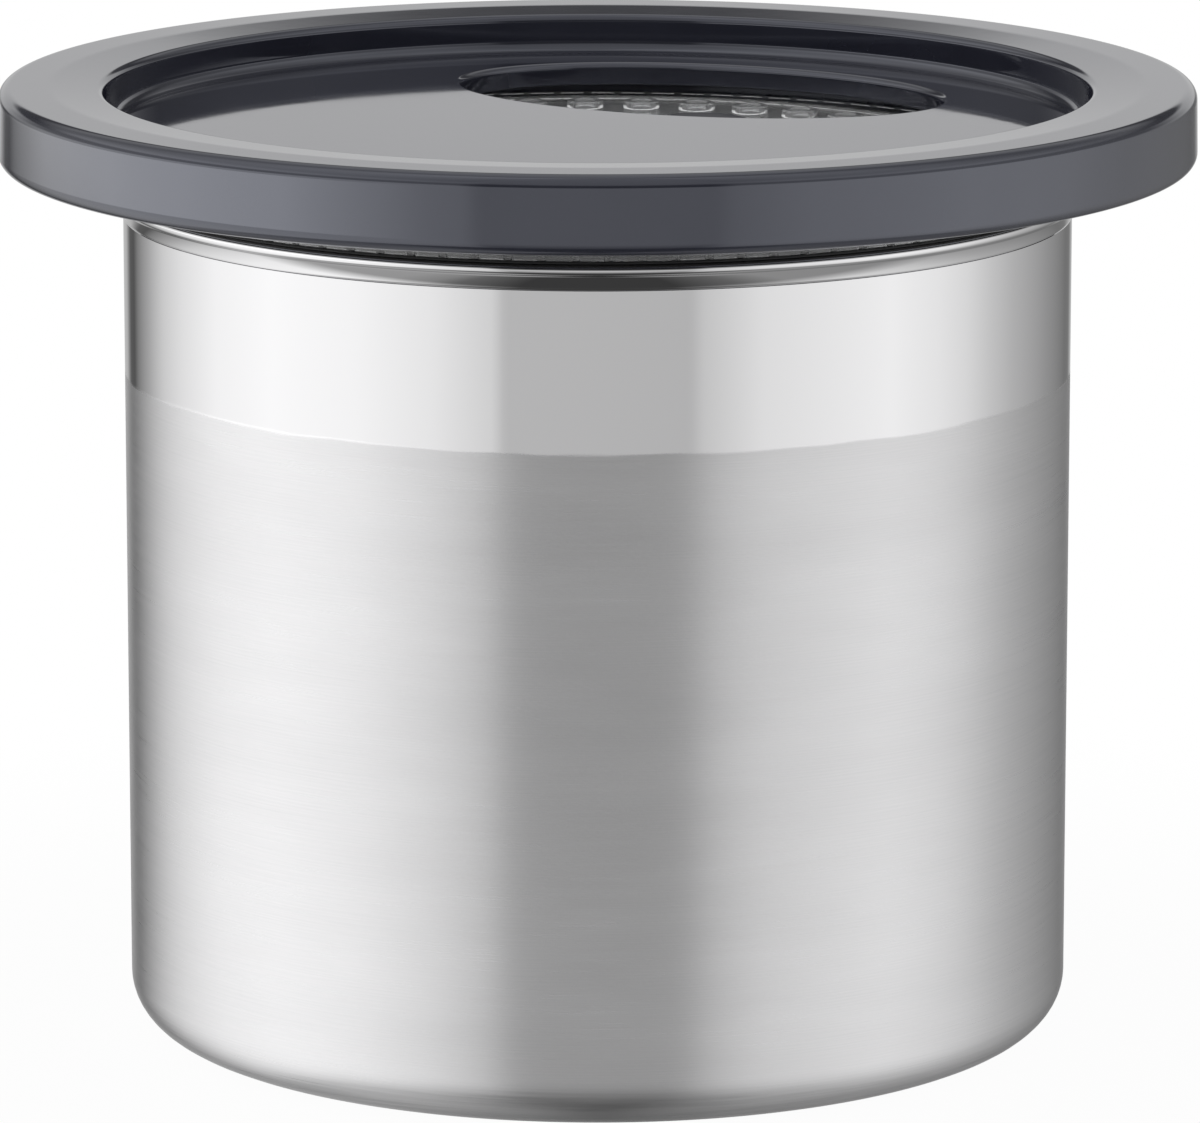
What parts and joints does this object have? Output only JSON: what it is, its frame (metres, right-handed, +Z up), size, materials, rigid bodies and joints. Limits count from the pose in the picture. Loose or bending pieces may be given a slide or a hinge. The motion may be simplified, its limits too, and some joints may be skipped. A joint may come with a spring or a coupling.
{
  "type": "vacuum seal canister",
  "caption": "Round steel canister with a clear plug lid and a wide turning cover that pumps the air out; a button in the cover's oval window lets it back in.",
  "frame": {"origin": "centre of the can's base, on the surface that it stands on", "axes": "+Z up along the can's axis; the oval window in the cover lies towards +Y"},
  "size_m": [0.1262, 0.1262, 0.1009],
  "materials": {
    "steel": "brushed round the can, polished band above",
    "slate_plastic": "glossy moulded",
    "slate_matte": "fine moulded",
    "clear_plastic": "clear moulded",
    "white_plastic": "natural acetal",
    "dark_silicone": "soft",
    "grey_silicone": "soft",
    "spring_steel": "drawn"
  },
  "bodies": {
    "can": {"can_body": "steel"},
    "lid": {"inner_lid": "clear_plastic", "seat_gasket": "dark_silicone", "rim_gasket": "grey_silicone", "pump_cylinder": "clear_plastic", "cylinder_seal": "grey_silicone", "plug_floor": "slate_matte", "floor_gasket": "grey_silicone", "floor_screws": "spring_steel", "intake_valve": "grey_silicone", "filter_screen": "spring_steel", "filter_cap": "slate_matte", "glide_washer": "white_plastic", "release_spring": "spring_steel"},
    "cover": {"lid_cover": "slate_plastic", "cam_sleeve": "white_plastic", "retaining_clip": "spring_steel"},
    "pump_piston": {"piston": "white_plastic", "piston_seal": "dark_silicone", "exhaust_flap": "grey_silicone", "flap_retainer": "white_plastic", "cross_pin": "spring_steel"},
    "release": {"release_button": "slate_matte", "release_stem": "spring_steel", "release_seal": "grey_silicone"}
  },
  "joints": [
    {"name": "lid_lift", "type": "slide", "parent": "can", "child": "lid", "axis": [0, 0, 1], "range_m": [0, 0.06]},
    {"name": "cover_turn", "type": "hinge", "parent": "lid", "child": "cover", "pos_m": [0, 0, 0.0935], "axis": [0, 0, 1], "range_deg": [0, 90]},
    {"name": "piston_slide", "type": "slide", "parent": "lid", "child": "pump_piston", "axis": [0, 0, 1], "range_m": [0, 0.006]},
    {"name": "release_press", "type": "slide", "parent": "lid", "child": "release", "axis": [0, 0, -1], "range_m": [0, 0.0015], "stiffness_N_per_m": 400, "springref_m": -0.005, "deforming": ["release_spring"]}
  ],
  "couplings": [
    {"joint": "piston_slide", "follows": "cover_turn", "m_per_rad": 0.0038197}
  ]
}
